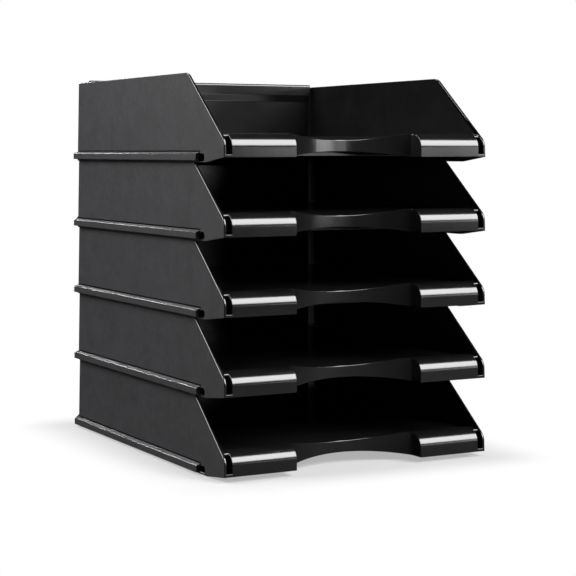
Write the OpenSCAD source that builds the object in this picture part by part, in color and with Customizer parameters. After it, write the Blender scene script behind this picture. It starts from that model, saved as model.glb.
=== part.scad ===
// Stack of five letter trays. Each tray is one moulded piece, and its two side rims
// reach into channels along the sides of the tray above.
// X runs across the stack, Y from the front face to the rear, and Z up from the desk.
// A tray is drawn with its front face at Y = 0, and placed about the middle of the stack.

/* [Stack] */
// Width over the outer faces of the side walls at their feet
tray_w = 255; // [245:1:275]
// Depth from the front face to the rear ends of the side walls
tray_d = 332; // [322:1:360]
// Height that each tray adds to the stack
stack_pitch = 65; // [60:0.5:72]
// Height to which a rim reaches into the tray above
nest_depth = 10.7; // [10.2:0.1:13]
// Clearance between a rim and each side of the channel that holds it
fit_gap = 0.3; // [0.2:0.05:0.4]

/* [Side walls] */
// Thickness of the side walls
wall_t = 2.3; // [1.8:0.1:2.8]
// Thickness of the part of a side wall that hangs outside the rim below
foot_t = 1; // [0.8:0.1:1.3]
// Height of the front bottom corner above the foot
front_rise = 4.2; // [2:0.2:6]
// Height at which the line of the slope meets the front edge
toe_z = 18; // [16:0.5:20]
// Angle of the sloping front edge above the horizontal
slope_angle = 38; // [34:0.5:44]
// Radius between the front edge and the slope
toe_r = 10; // [6:0.5:14]
// Radius between the slope and the rim
crown_r = 16; // [8:0.5:24]

/* [Side rails] */
// Distance from the front face to the front end of a rail
rail_start = 45; // [38:0.5:60]
// Reach of a rail beyond the side wall
rail_out = 4.2; // [3.5:0.1:6]
// Height of the lower edge of a rail above the foot
rail_bottom = 1.6; // [1:0.1:2.4]
// Height of the upper outer edge of a rail above the foot
rail_top = 7.2; // [6.4:0.1:7.6]
// Thickness of a rail's ledge and of its hanging lip
rail_t = 1.4; // [1:0.1:1.8]
// Rise of the ledge from its outer edge to the wall
ledge_rise = 1.6; // [1:0.1:1.8]
// Height of the groove above the ledge
groove_h = 0.8; // [0.4:0.1:0.8]
// Depth of the groove above the ledge
groove_depth = 0.4; // [0.2:0.05:0.5]
// Reach of the round-ended port ahead of a rail
port_len = 7.7; // [5:0.1:9]
// Height of the port
port_h = 6; // [5:0.1:6.4]

/* [Floor] */
// Height of the floor's upper face above the foot
floor_z = 22.2; // [20.5:0.1:24]
// Thickness of the floor, the nose and the notch skirt
floor_t = 2.2; // [1.8:0.1:2.6]
// Thickness of the roof of a side channel
web_t = 2; // [1.6:0.1:2.4]
// Thickness of the skirts under the floor and of the ribs
skirt_t = 1.6; // [1.2:0.1:2]
// Depth of the ribs under the floor
rib_h = 5; // [3:0.2:6]
// Number of ribs across the underside of the floor
rib_count = 4; // [2:1:6]
// Height of the lower edge of the first rib above the foot
front_rib_z = 5; // [3:0.2:8]

/* [Front lips] */
// Depth of the rounded nose
nose_d = 18; // [16:0.5:22]
// Radius of the nose
nose_r = 11; // [9:0.2:12.6]
// Slope of the nose's upper face
nose_slope = 5; // [2:0.5:8]
// Height of the nose's rear edge above the floor
nose_step = 1.9; // [0.4:0.1:2.4]
// Width of the slot between a lip and the side wall
slot_w = 5.2; // [3.5:0.1:6]
// Depth of the slot from the front face
slot_d = 7; // [5:0.2:9]
// Height of the sill that closes the slot below
sill_h = 2.5; // [2:0.1:4]

/* [Finger notch] */
// Width of the notch between the two lips
notch_w = 121; // [110:1:136]
// Distance from the front face to the middle of the notch's rear edge
notch_deep = 34; // [31:0.5:40]
// Curve of the notch's rear edge, from its ends to its middle
notch_bow = 19; // [15:0.5:21]
// Corner radius of the notch
notch_r = 5; // [3:0.5:8]
// Width of the dip in the raised edge round the notch
dip_w = 108; // [90:1:110]
// Depth of that dip below the top of the lips
dip_depth = 5.4; // [3:0.1:6]
// Length over which the dip runs out into the floor
dip_run = 28; // [18:0.5:34]
// Rise of the arch under the notch skirt
arch_rise = 4.8; // [3:0.1:6]

/* [Back wall] */
// Distance from the front of the back wall to the rear ends of the side walls
back_setback = 16; // [12:0.5:22]
// Thickness of the back wall
back_t = 2.2; // [1.8:0.1:2.6]
// Gap from each end of the back wall to the foot line of the side wall
back_gap = 4.4; // [4:0.1:7]
// Height of the back wall's rim above the side rims
back_rise = 2.2; // [0:0.1:3]
// Height of the rim's upright front face
rim_h = 11; // [8:0.1:13]
// Reach of the rim ahead of the back wall
rim_out = 4; // [2.4:0.1:5]
// Height over which the rim runs back into the wall below it
rim_run = 6.5; // [5:0.1:9]
// Radius of the rim's upper edges
rim_r = 2; // [1:0.1:2.2]

/* [Hidden] */
// Cuts run past the faces that they open by this much
overrun = 1;
// Points on a small arc and on a wide one
arc_steps = 14;
wide_arc_steps = 24;

half_w = tray_w / 2;
wall_h = stack_pitch + nest_depth;
// The walls lean in, so that a rim clears the foot of the tray above by fit_gap
lean = (foot_t + fit_gap) / stack_pitch;
floor_bottom = floor_z - floor_t;

slope_run = (wall_h - toe_z) / tan(slope_angle);
toe_leg = toe_r * tan((90 - slope_angle) / 2);
crown_leg = crown_r * tan(slope_angle / 2);

channel_start = rail_start - port_len - skirt_t;
foot_start = channel_start - skirt_t;
// Inset of each face of a channel from the outer face of the wall
rim_inset = foot_t + fit_gap;
skirt_inset = rim_inset + wall_t + fit_gap;

nose_top = floor_z + nose_step;
nose_arc_z = nose_top - (nose_d - nose_r) * tan(nose_slope) - nose_r / cos(nose_slope);
lip_end = half_w - wall_t - slot_w;
// The floor and the nose end inside the thickness of the side walls
floor_half = half_w - wall_t / 2 - lean * floor_z;

notch_half = notch_w / 2;
notch_arc_r = (pow(notch_half, 2) + pow(notch_bow, 2)) / (2 * notch_bow);
notch_arc_y = notch_deep - notch_arc_r;
notch_corner_x = notch_half - notch_r;
notch_corner_y = notch_arc_y + sqrt(pow(notch_arc_r - notch_r, 2) - pow(notch_corner_x, 2));
notch_turn = asin(notch_corner_x / (notch_arc_r - notch_r));
dip_arc_r = (pow(dip_w / 2, 2) + pow(dip_depth, 2)) / (2 * dip_depth);
dip_z = nose_top - dip_depth;
dip_angle = atan((floor_z - dip_z) / dip_run);
arch_arc_r = (pow(notch_half, 2) + pow(arch_rise, 2)) / (2 * arch_rise);

back_y = tray_d - back_setback;
back_half = half_w - wall_t - back_gap;

function arc(centre, r, from, to, steps) =
    [for (i = [0:steps]) let (a = from + (to - from) * i / steps) centre + r * [cos(a), sin(a)]];

// Outer face of the right wall at height z
function wall_x(z) = half_w - lean * z;

// Draws a (Y, Z) outline as a solid from x_from to x_to
module along_x(x_from, x_to) {
    translate([x_from, 0, 0]) rotate([90, 0, 90]) linear_extrude(x_to - x_from) children();
}

// Draws an (X, Z) outline as a solid from y_from to y_to
module along_y(y_from, y_to) {
    translate([0, y_to, 0]) rotate([90, 0, 0]) linear_extrude(y_to - y_from) children();
}

module both_sides() {
    children();
    mirror([1, 0, 0]) children();
}

// Upright band that leans with the wall, t thick, its outer face inset from the wall's
module leaning_band(inset, t, z_from, z_to) {
    polygon([
        [wall_x(z_from) - inset, z_from],
        [wall_x(z_to) - inset, z_to],
        [wall_x(z_to) - inset - t, z_to],
        [wall_x(z_from) - inset - t, z_from],
    ]);
}

module wall_outline() {
    slope_foot = [0, toe_z];
    slope_head = [slope_run, wall_h];
    polygon(concat(
        [[tray_d, 0], [tray_d, wall_h]],
        arc([slope_head[0] + crown_leg, wall_h - crown_r], crown_r, 90, 90 + slope_angle, arc_steps),
        arc([toe_r, slope_foot[1] - toe_leg], toe_r, 90 + slope_angle, 180, arc_steps),
        [[0, front_rise], [foot_start, 0]]
    ));
}

module side_wall() {
    intersection() {
        along_y(0, tray_d) leaning_band(0, wall_t, 0, wall_h);
        along_x(0, half_w) wall_outline();
    }
}

// Space that the rim of the tray below takes, open below and at the rear
module rim_channel() {
    along_y(channel_start, tray_d + overrun)
        leaning_band(foot_t, fit_gap + wall_t + fit_gap, -overrun, nest_depth);
}

// Roof, inner side and front end of the channel
module channel_walls() {
    along_y(channel_start, tray_d) leaning_band(skirt_inset, skirt_t, 0, floor_bottom);
    along_y(foot_start, tray_d)
        leaning_band(foot_t / 2, skirt_inset + skirt_t - foot_t / 2, nest_depth, nest_depth + web_t);
    along_y(foot_start, channel_start)
        leaning_band(foot_t / 2, skirt_inset + skirt_t - foot_t / 2, 0, floor_bottom);
}

// Hook-shaped rail that stands out from the foot of the wall
module rail() {
    lip_x = half_w + rail_out;
    root_x = half_w - foot_t / 2;
    along_y(rail_start, tray_d) polygon([
        [lip_x, rail_bottom],
        [lip_x, rail_top],
        [half_w, rail_top + ledge_rise],
        [root_x, rail_top + ledge_rise],
        [root_x, rail_top + ledge_rise - rail_t],
        [lip_x - rail_t, rail_top - rail_t],
        [lip_x - rail_t, rail_bottom],
    ]);
}

module ledge_groove() {
    groove_z = rail_top + ledge_rise;
    along_y(rail_start, tray_d + overrun)
        leaning_band(-overrun, overrun + groove_depth, groove_z, groove_z + groove_h);
}

// Round-ended port through the foot of the wall, just ahead of the rail
module rail_port() {
    port_r = port_h / 2;
    along_x(half_w - rim_inset, half_w + overrun) {
        translate([rail_start - port_len + port_r, rail_top - port_r]) circle(port_r, $fn = 48);
        translate([rail_start - port_len + port_r, rail_top - port_h]) square([port_len, port_h]);
    }
}

module side() {
    difference() {
        union() {
            side_wall();
            channel_walls();
        }
        rim_channel();
        ledge_groove();
        rail_port();
    }
    rail();
}

// Side view of the rounded nose, drawn in from its outer face by inset
function nose_outline(inset) = concat(
    [[inset, front_rise - (inset > 0 ? overrun : 0)]],
    arc([nose_r, nose_arc_z], nose_r - inset, 180, 90 + nose_slope, arc_steps),
    [[nose_d, nose_top - inset / cos(nose_slope)]]
);

module nose_solid() {
    polygon(concat(nose_outline(0), [[nose_d, front_rise]]));
}

module nose_shell() {
    difference() {
        nose_solid();
        polygon(concat(nose_outline(floor_t), [
            [nose_d + overrun, nose_top - floor_t / cos(nose_slope)],
            [nose_d + overrun, front_rise - overrun],
        ]));
    }
}

// Plan of the finger notch, widened all round by grow
module notch_plan(grow) {
    corner = [notch_corner_x, notch_corner_y];
    polygon(concat(
        [[notch_half + grow, -overrun]],
        arc(corner, notch_r + grow, 0, 90 - notch_turn, arc_steps),
        arc([0, notch_arc_y], notch_arc_r + grow, 90 - notch_turn, 90 + notch_turn, wide_arc_steps),
        arc([-corner[0], corner[1]], notch_r + grow, 90 + notch_turn, 180, arc_steps),
        [[-notch_half - grow, -overrun]]
    ));
}

// Skirt that hangs round the notch, and the end faces of the two lips
module notch_skirt() {
    intersection() {
        linear_extrude(nose_top) difference() {
            notch_plan(floor_t);
            notch_plan(0);
        }
        along_x(-notch_half - floor_t, notch_half + floor_t) {
            nose_solid();
            translate([nose_d, front_rise]) square([notch_deep, nose_top - front_rise]);
        }
    }
}

// Form of the dip, level over the notch's edge and rising behind it, widened by grow.
// The two cylinders cross where the level stretch meets the rising one.
module dip_form(grow) {
    form_r = dip_arc_r + grow;
    form_length = overrun + notch_deep + 2 * dip_run;
    intersection() {
        translate([0, -overrun, dip_z + dip_arc_r]) rotate([-90, 0, 0])
            cylinder(r = form_r, h = form_length, $fn = 360);
        translate([0, notch_deep, dip_z]) rotate([dip_angle - 90, 0, 0])
            translate([0, -dip_arc_r, -notch_deep - overrun])
            cylinder(r = form_r, h = form_length, $fn = 360);
    }
}

// Shell under the floor that gives the dip its thickness
module dip_backing() {
    intersection() {
        dip_form(floor_t);
        translate([-dip_w / 2, notch_deep - notch_bow, dip_z - 2 * floor_t])
            cube([dip_w, notch_bow + dip_run, floor_z - dip_z + 2 * floor_t - floor_t / 2]);
    }
}

module arch_cut() {
    translate([0, notch_corner_y, front_rise + arch_rise - arch_arc_r]) rotate([-90, 0, 0])
        cylinder(r = arch_arc_r, h = notch_deep + floor_t + overrun - notch_corner_y, $fn = 360);
}

module slot_cut() {
    translate([lip_end, -overrun, front_rise + sill_h])
        cube([floor_half - lip_end + overrun, slot_d + overrun, nose_top]);
}

module lip_end_face() {
    along_x(lip_end - floor_t, lip_end) nose_solid();
}

module floor_plate() {
    difference() {
        union() {
            translate([-floor_half, nose_d - floor_t, floor_bottom])
                cube([2 * floor_half, tray_d - nose_d, floor_t]);
            along_x(-floor_half, floor_half) nose_shell();
            dip_backing();
            notch_skirt();
        }
        translate([0, 0, -overrun]) linear_extrude(nose_top + 2 * overrun) notch_plan(0);
        dip_form(0);
        arch_cut();
        both_sides() slot_cut();
    }
    both_sides() lip_end_face();
}

module ribs() {
    rib_half = half_w - skirt_inset - skirt_t / 2;
    first_y = notch_deep + dip_run;
    gap_y = (back_y - first_y) / rib_count;
    for (i = [0:rib_count - 1]) {
        low_z = i == 0 ? front_rib_z : floor_bottom - rib_h;
        translate([-rib_half, first_y + i * gap_y, low_z])
            cube([2 * rib_half, skirt_t, floor_z - floor_t / 2 - low_z]);
    }
    // The rear skirt stays above the back rim of the tray below
    skirt_z = nest_depth + back_rise + web_t;
    translate([-rib_half, back_y, skirt_z])
        cube([2 * rib_half, back_t, floor_z - floor_t / 2 - skirt_z]);
}

// The wall steps forward under its top and ends in a flange with rounded edges
module back_wall() {
    back_top = wall_h + back_rise;
    rim_y = back_y - rim_out;
    rear_y = back_y + back_t;
    rim_foot = back_top - rim_h;
    // Keeps the sloping stretch as thick as the rest of the wall
    rear_shift = back_t * (norm([rim_out, rim_run]) - rim_run) / rim_out;
    along_x(-back_half, back_half) polygon(concat(
        [[back_y, floor_bottom], [back_y, rim_foot - rim_run], [rim_y, rim_foot]],
        arc([rim_y + rim_r, back_top - rim_r], rim_r, 180, 90, arc_steps),
        arc([rear_y - rim_r, back_top - rim_r], rim_r, 90, 0, arc_steps),
        [
            [rear_y, back_top - back_t],
            [rim_y + back_t, back_top - back_t],
            [rim_y + back_t, rim_foot + rear_shift],
            [rear_y, rim_foot - rim_run + rear_shift],
            [rear_y, floor_bottom],
        ]
    ));
}

module tray() {
    translate([0, -tray_d / 2, 0]) {
        both_sides() side();
        floor_plate();
        ribs();
        back_wall();
    }
}

module tray_at(level) {
    color("#2b2b2d") translate([0, 0, level * stack_pitch]) tray();
}

module tray_1() { tray_at(0); }
module tray_2() { tray_at(1); }
module tray_3() { tray_at(2); }
module tray_4() { tray_at(3); }
module tray_5() { tray_at(4); }

tray_1();
tray_2();
tray_3();
tray_4();
tray_5();
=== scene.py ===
# Stack of five moulded letter trays: finish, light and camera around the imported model.
# Lengths are in metres and angles in degrees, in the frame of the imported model.
import math

import bpy
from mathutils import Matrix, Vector

# Camera, fitted to the corners of the five trays in the photograph
IMAGE_SIZE = 576
SENSOR_WIDTH_MM = 36
CAMERA_PLACE = (-0.71032, -1.38996, 0.26925)
CAMERA_TURN = 29.0918
CAMERA_TILT = 1.6647
CAMERA_REACH = 50
FOCAL_PX = 1677.63
CENTRE_X_PX = 330
CENTRE_Y_PX = 200
LEVEL_VIEW = 90

# Edge rounding of the mouldings, and of the free edges of the side walls, which lie
# beyond WALL_EDGE_X from the middle plane and higher than WALL_EDGE_Z above the foot.
# Edges that turn by more than EDGE_ANGLE are rounded
EDGE_RADIUS = 0.00045
WALL_EDGE_RADIUS = 0.0008
WALL_EDGE_X = 0.1222
WALL_EDGE_Z = 0.0125
EDGE_ANGLE = 28
EDGE_SEGMENTS = 3
WELD_DISTANCE = 0.00002
FLAT_ANGLE = 0.3
FLAT_FACE_WEIGHT = 60

# Distances from the middle plane beyond which the side walls' outer faces and the rails
# lie, and the least part of a normal that points straight out of such a face
SIDE_FACE_FROM = 0.1255
SIDE_FACE_NORMAL = 0.9
RAIL_FROM = 0.1277
RAIL_FACE_NORMAL = 0.92

# Noise in the plastic: scale, detail and roughness
GRAIN = (1500, 2.0, 0.55)
SPECKLE = (200, 5.0, 0.7)
CLOUD = (45, 3.0, 0.55)
RIPPLE = (260, 1.0, 0.55)

# Share of the cloud in the mottle of the matt faces; the rest is speckle
CLOUD_SHARE = 0.3

# Glossy and matt faces: darkest and lightest colour, each with the noise value at which
# it is reached, range of roughness, and strength of the bump
GLOSS_TONES = ((0.3, (0.006, 0.006, 0.0065, 1)), (0.7, (0.009, 0.009, 0.0095, 1)))
GLOSS_ROUGHNESS = (0.16, 0.2)
GLOSS_BUMP = 0.01
MATT_TONES = ((0.4, (0.022, 0.0215, 0.024, 1)), (0.6, (0.036, 0.035, 0.039, 1)))
MATT_ROUGHNESS = (0.48, 0.62)
MATT_BUMP = 0.5
BUMP_HEIGHT = 0.0001
PLASTIC_IOR = 1.8

# Floor: its colour under the lamps, and how much is added where it is seen
FLOOR_SIZE = 12
FLOOR_Z = -0.0004
FLOOR_TONE = 0.3
FLOOR_ROUGHNESS = 0.9
FLOOR_LIFT = 0.43

# Half width and half depth of the stack's footprint, and how far the shade round it reaches
FOOTPRINT_HALF = {"X": 0.1275, "Y": 0.166}
SHADE_REACH = 0.065

# Surroundings: their colour, and the light that comes from all round
WHITE = (1, 1, 1, 1)
FILL = 0.15

# Softboxes: place, point that they face, width, height and power
SOFTBOXES = {
    "front_softbox": ((0.80, -1.19, 1.25), (0.80, -0.166, 0.17), 1.3, 1.36, 50),
    "left_softbox": ((-0.85, 0.18, 0.8), (-0.13, 0, 0.17), 0.6, 0.6, 10.6),
    "right_strip": ((1.295, -1.35, 0.36), (0, -0.1, 0.25), 0.6, 0.3, 2.1),
    "front_low": ((0.89, -1.76, 0.29), (0, -0.166, 0.29), 0.36, 0.1, 0.34),
    "rear_softbox": ((-0.15, 0.95, 1.6), (0, 0.1, 0.2), 0.9, 0.5, 10),
}

# Narrow beam from behind that lies along the rails of the left side, and its spread
RAIL_BEAM = ((-0.2, 1.45, 0.75), (-0.2, 0, 0.02), 0.1, 0.2, 0.055)
RAIL_BEAM_SPREAD = 20

# Black cards round the set: their side, the point that they all face, and their places
CARD_SIDE = 9
CARDS_FACE = (0, 0, 0.2)
CARD_COLOUR = (0.01, 0.01, 0.01, 1)
CARD_ROUGHNESS = 0.9
CARDS = {
    "flag_left": (-4.5, 0, 0.2),
    "flag_right": (4.5, 0, 0.2),
    "flag_front": (0, -4.5, 0.2),
    "flag_rear": (0, 4.5, 0.2),
    "flag_top": (0, 0, 4.7),
    "flag_table": (0, 0, -0.0002),
}


def link(tree, source, socket):
    tree.links.new(source, socket)


def set_input(tree, socket, value):
    """Sets a socket to a number, or links it to another node's output."""
    if isinstance(value, (int, float)):
        socket.default_value = value
    else:
        link(tree, value, socket)


def add_node(tree, kind, **values):
    node = tree.nodes.new(kind)
    for name, value in values.items():
        setattr(node, name, value)
    return node


def math_node(tree, operation, *values, clamp=False):
    node = add_node(tree, "ShaderNodeMath", operation=operation, use_clamp=clamp)
    for socket, value in zip(node.inputs, values):
        set_input(tree, socket, value)
    return node.outputs[0]


def parts_of(tree, vector):
    """The X, Y and Z outputs of a vector."""
    node = add_node(tree, "ShaderNodeSeparateXYZ")
    link(tree, vector, node.inputs[0])
    return node.outputs


def noise(tree, place, scale, detail, roughness):
    node = add_node(tree, "ShaderNodeTexNoise")
    node.inputs["Scale"].default_value = scale
    node.inputs["Detail"].default_value = detail
    node.inputs["Roughness"].default_value = roughness
    link(tree, place, node.inputs["Vector"])
    return node.outputs["Fac"]


def blend_values(tree, factor, low, high):
    """low where factor is 0, high where it is 1."""
    node = add_node(tree, "ShaderNodeMapRange")
    for name, value in (("Value", factor), ("To Min", low), ("To Max", high)):
        set_input(tree, node.inputs[name], value)
    return node.outputs["Result"]


def tone_ramp(tree, factor, tones):
    """Colour between two tones, each given with the factor at which it is reached."""
    node = add_node(tree, "ShaderNodeValToRGB")
    for element, (position, colour) in zip(node.color_ramp.elements, tones):
        element.position = position
        element.color = colour
    link(tree, factor, node.inputs["Fac"])
    return node.outputs["Color"]


def new_material(name):
    material = bpy.data.materials.new(name)
    material.use_nodes = True
    return material, material.node_tree, material.node_tree.nodes["Principled BSDF"]


def side_face_mask(tree, place, normal):
    """1 on the outer faces of the side walls and on the faces of the rails, 0 elsewhere.

    The rounded edges of the rails are left out, so that they keep their gloss.
    """
    x = parts_of(tree, place)["X"]
    normal_parts = parts_of(tree, normal)
    distance = math_node(tree, "ABSOLUTE", x)
    outward = math_node(tree, "MULTIPLY", math_node(tree, "SIGN", x), normal_parts["X"])
    upright = math_node(tree, "ABSOLUTE", normal_parts["Z"])

    faces_out = math_node(tree, "GREATER_THAN", outward, SIDE_FACE_NORMAL)
    beyond_wall = math_node(tree, "GREATER_THAN", distance, SIDE_FACE_FROM)
    on_wall = math_node(tree, "MULTIPLY", faces_out, beyond_wall)

    straightest = math_node(tree, "MAXIMUM", outward, upright)
    flat = math_node(tree, "GREATER_THAN", straightest, RAIL_FACE_NORMAL)
    beyond_rail = math_node(tree, "GREATER_THAN", distance, RAIL_FROM)
    on_rail = math_node(tree, "MULTIPLY", beyond_rail, flat)
    return math_node(tree, "MAXIMUM", on_wall, on_rail)


def tray_plastic():
    """Black polystyrene: fine matt grain on the outer side faces, satin gloss elsewhere."""
    material, tree, shader = new_material("tray_plastic_finish")
    coordinates = add_node(tree, "ShaderNodeTexCoord")
    place = coordinates.outputs["Object"]
    side = side_face_mask(tree, place, coordinates.outputs["Normal"])

    grain = noise(tree, place, *GRAIN)
    speckle = noise(tree, place, *SPECKLE)
    cloud = noise(tree, place, *CLOUD)
    ripple = noise(tree, place, *RIPPLE)

    mottle = blend_values(tree, CLOUD_SHARE, speckle, cloud)
    colour = add_node(tree, "ShaderNodeMix", data_type="RGBA")
    link(tree, side, colour.inputs["Factor"])
    link(tree, tone_ramp(tree, cloud, GLOSS_TONES), colour.inputs["A"])
    link(tree, tone_ramp(tree, mottle, MATT_TONES), colour.inputs["B"])
    link(tree, colour.outputs["Result"], shader.inputs["Base Color"])

    gloss = blend_values(tree, cloud, *GLOSS_ROUGHNESS)
    matt = blend_values(tree, grain, *MATT_ROUGHNESS)
    link(tree, blend_values(tree, side, gloss, matt), shader.inputs["Roughness"])
    shader.inputs["IOR"].default_value = PLASTIC_IOR

    bump = add_node(tree, "ShaderNodeBump")
    bump.inputs["Distance"].default_value = BUMP_HEIGHT
    link(tree, blend_values(tree, side, ripple, grain), bump.inputs["Height"])
    link(tree, blend_values(tree, side, GLOSS_BUMP, MATT_BUMP), bump.inputs["Strength"])
    link(tree, bump.outputs["Normal"], shader.inputs["Normal"])
    return material


def free_edge_mask(group, mesh):
    """1 on the free edges of the side walls, 0 elsewhere."""
    place = parts_of(group, add_node(group, "GeometryNodeInputPosition").outputs[0])
    box = add_node(group, "GeometryNodeBoundBox")
    link(group, mesh, box.inputs["Geometry"])
    foot = parts_of(group, box.outputs["Min"])
    height = math_node(group, "SUBTRACT", place["Z"], foot["Z"])
    high = math_node(group, "GREATER_THAN", height, WALL_EDGE_Z)
    distance = math_node(group, "ABSOLUTE", place["X"])
    outside = math_node(group, "GREATER_THAN", distance, WALL_EDGE_X)
    return math_node(group, "MULTIPLY", high, outside)


def edge_plan():
    """Group that drops the imported normals and marks how wide each sharp edge is rounded.

    The free edges of the side walls are rounded more than the rest.
    """
    group = bpy.data.node_groups.new("edge_plan", "GeometryNodeTree")
    for direction in ("INPUT", "OUTPUT"):
        group.interface.new_socket(
            name="Geometry", in_out=direction, socket_type="NodeSocketGeometry")
    mesh = add_node(group, "NodeGroupInput").outputs[0]
    reset = add_node(group, "GeometryNodeSetMeshNormal", mode="SHARPNESS")
    reset.inputs["Remove Custom"].default_value = True
    link(group, mesh, reset.inputs["Mesh"])

    turn = add_node(group, "GeometryNodeInputMeshEdgeAngle").outputs["Unsigned Angle"]
    sharp = math_node(group, "GREATER_THAN", turn, math.radians(EDGE_ANGLE))
    share = blend_values(
        group, free_edge_mask(group, mesh), EDGE_RADIUS / WALL_EDGE_RADIUS, 1.0)

    store = add_node(
        group, "GeometryNodeStoreNamedAttribute", data_type="FLOAT", domain="EDGE")
    store.inputs["Name"].default_value = "bevel_weight_edge"
    link(group, reset.outputs[0], store.inputs["Geometry"])
    link(group, math_node(group, "MULTIPLY", sharp, share), store.inputs["Value"])
    link(group, store.outputs[0], add_node(group, "NodeGroupOutput").inputs[0])
    return group


def dress_tray(tray, material, plan):
    """Rounds the sharp edges of a tray and gives it its finish."""
    weld = tray.modifiers.new("weld", "WELD")
    weld.merge_threshold = WELD_DISTANCE
    flat = tray.modifiers.new("flat_faces", "DECIMATE")
    flat.decimate_type = "DISSOLVE"
    flat.angle_limit = math.radians(FLAT_ANGLE)
    tray.modifiers.new("edge_plan", "NODES").node_group = plan
    bevel = tray.modifiers.new("edge_rounding", "BEVEL")
    bevel.width = WALL_EDGE_RADIUS
    bevel.segments = EDGE_SEGMENTS
    bevel.limit_method = "WEIGHT"
    bevel.use_clamp_overlap = False
    shade = tray.modifiers.new("shading", "WEIGHTED_NORMAL")
    shade.weight = FLAT_FACE_WEIGHT
    shade.keep_sharp = True
    for slot in tray.material_slots:
        slot.material = material


def seen_directly(tree):
    """1 for rays from the camera, off gloss and through glass, 0 for light on the object."""
    path = add_node(tree, "ShaderNodeLightPath").outputs
    seen = math_node(tree, "ADD", path["Is Camera Ray"], path["Is Glossy Ray"])
    return math_node(tree, "ADD", seen, path["Is Transmission Ray"], clamp=True)


def world_light():
    """White where the camera and reflections see past the floor, a plain soft fill elsewhere."""
    world = bpy.data.worlds.new("studio")
    world.use_nodes = True
    bpy.context.scene.world = world
    tree = world.node_tree
    background = tree.nodes["Background"]
    background.inputs["Color"].default_value = WHITE
    strength = blend_values(tree, seen_directly(tree), FILL, 1.0)
    link(tree, strength, background.inputs["Strength"])


def distance_from_stack(tree, place):
    """Distance of a point of the floor from the stack's footprint."""
    parts = parts_of(tree, place)
    squares = []
    for axis, half in FOOTPRINT_HALF.items():
        beyond = math_node(tree, "SUBTRACT", math_node(tree, "ABSOLUTE", parts[axis]), half)
        outside = math_node(tree, "MAXIMUM", beyond, 0.0)
        squares.append(math_node(tree, "POWER", outside, 2.0))
    return math_node(tree, "SQRT", math_node(tree, "ADD", *squares))


def floor():
    """White floor: a pale colour that keeps the shadow near the stack, white beyond it."""
    bpy.ops.mesh.primitive_plane_add(size=FLOOR_SIZE, location=(0, 0, FLOOR_Z))
    plane = bpy.context.object
    plane.name = "floor"
    material, tree, shader = new_material("floor_white")
    shader.inputs["Base Color"].default_value = (FLOOR_TONE, FLOOR_TONE, FLOOR_TONE, 1)
    shader.inputs["Roughness"].default_value = FLOOR_ROUGHNESS
    shader.inputs["Specular IOR Level"].default_value = 0.0
    seen = seen_directly(tree)
    lift = math_node(tree, "MULTIPLY", seen, FLOOR_LIFT)
    link(tree, lift, shader.inputs["Emission Strength"])
    shader.inputs["Emission Color"].default_value = WHITE

    place = add_node(tree, "ShaderNodeTexCoord").outputs["Object"]
    fade = add_node(tree, "ShaderNodeMapRange", interpolation_type="SMOOTHSTEP")
    fade.inputs["From Max"].default_value = SHADE_REACH
    link(tree, distance_from_stack(tree, place), fade.inputs["Value"])
    plain = add_node(tree, "ShaderNodeEmission")
    plain.inputs["Color"].default_value = WHITE
    mix = add_node(tree, "ShaderNodeMixShader")
    share = math_node(tree, "MULTIPLY", fade.outputs["Result"], seen, clamp=True)
    for socket, source in zip(
            mix.inputs, (share, shader.outputs["BSDF"], plain.outputs["Emission"])):
        link(tree, source, socket)
    link(tree, mix.outputs["Shader"], tree.nodes["Material Output"].inputs["Surface"])
    plane.data.materials.append(material)


def facing(place, target):
    """Rotation that turns a thing's -Z towards a point."""
    return (Vector(target) - Vector(place)).to_track_quat("-Z", "Y").to_euler()


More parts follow.
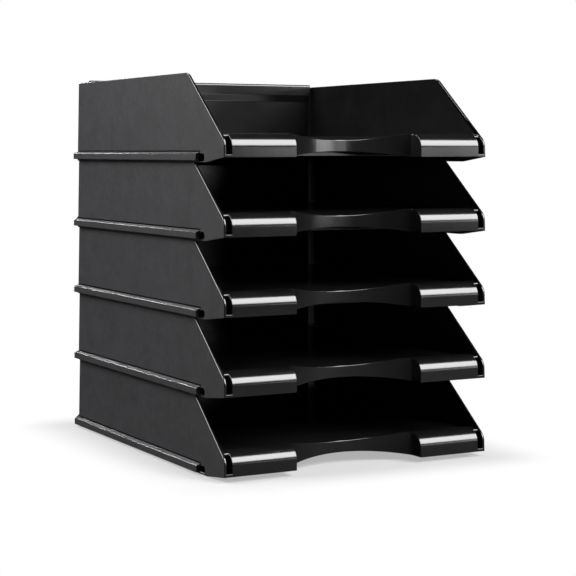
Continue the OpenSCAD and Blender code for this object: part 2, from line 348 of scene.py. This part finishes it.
def cards():
    """Black cards that keep the white surroundings out of the glossy faces."""
    for name, place in CARDS.items():
        bpy.ops.mesh.primitive_plane_add(size=1, location=place)
        card = bpy.context.object
        card.name = name
        card.scale = (CARD_SIDE, CARD_SIDE, 1)
        card.rotation_euler = facing(place, CARDS_FACE)
        material, _, shader = new_material(name + "_black")
        shader.inputs["Base Color"].default_value = CARD_COLOUR
        shader.inputs["Roughness"].default_value = CARD_ROUGHNESS
        card.data.materials.append(material)
        card.visible_camera = False
        card.visible_diffuse = False
        card.visible_shadow = False
        card.visible_transmission = False


def softbox(name, place, target, width, height, power):
    light = bpy.data.lights.new(name, "AREA")
    light.shape = "RECTANGLE"
    light.size = width
    light.size_y = height
    light.energy = power
    lamp = bpy.data.objects.new(name, light)
    lamp.location = place
    lamp.rotation_euler = facing(place, target)
    lamp.visible_camera = False
    bpy.context.scene.collection.objects.link(lamp)
    return light


def lights():
    for name, values in SOFTBOXES.items():
        softbox(name, *values)
    softbox("rail_beam", *RAIL_BEAM).spread = math.radians(RAIL_BEAM_SPREAD)


def camera():
    data = bpy.data.cameras.new("camera")
    data.sensor_width = SENSOR_WIDTH_MM
    data.lens = FOCAL_PX * SENSOR_WIDTH_MM / IMAGE_SIZE
    data.shift_x = (IMAGE_SIZE / 2 - CENTRE_X_PX) / IMAGE_SIZE
    data.shift_y = (CENTRE_Y_PX - IMAGE_SIZE / 2) / IMAGE_SIZE
    data.clip_end = CAMERA_REACH
    eye = bpy.data.objects.new("camera", data)
    eye.location = CAMERA_PLACE
    eye.rotation_euler = (
        math.radians(LEVEL_VIEW - CAMERA_TILT), 0, math.radians(-CAMERA_TURN))
    bpy.context.scene.collection.objects.link(eye)
    bpy.context.scene.camera = eye


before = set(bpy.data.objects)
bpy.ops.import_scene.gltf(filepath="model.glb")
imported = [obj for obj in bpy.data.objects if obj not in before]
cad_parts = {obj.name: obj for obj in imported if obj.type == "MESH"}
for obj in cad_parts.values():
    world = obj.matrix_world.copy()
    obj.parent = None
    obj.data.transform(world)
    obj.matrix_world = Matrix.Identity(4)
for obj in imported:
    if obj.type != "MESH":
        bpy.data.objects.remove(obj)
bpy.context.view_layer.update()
plastic = tray_plastic()
rounding = edge_plan()
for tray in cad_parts.values():
    dress_tray(tray, plastic, rounding)
world_light()
floor()
cards()
lights()
camera()
bpy.context.scene.view_settings.view_transform = "Standard"
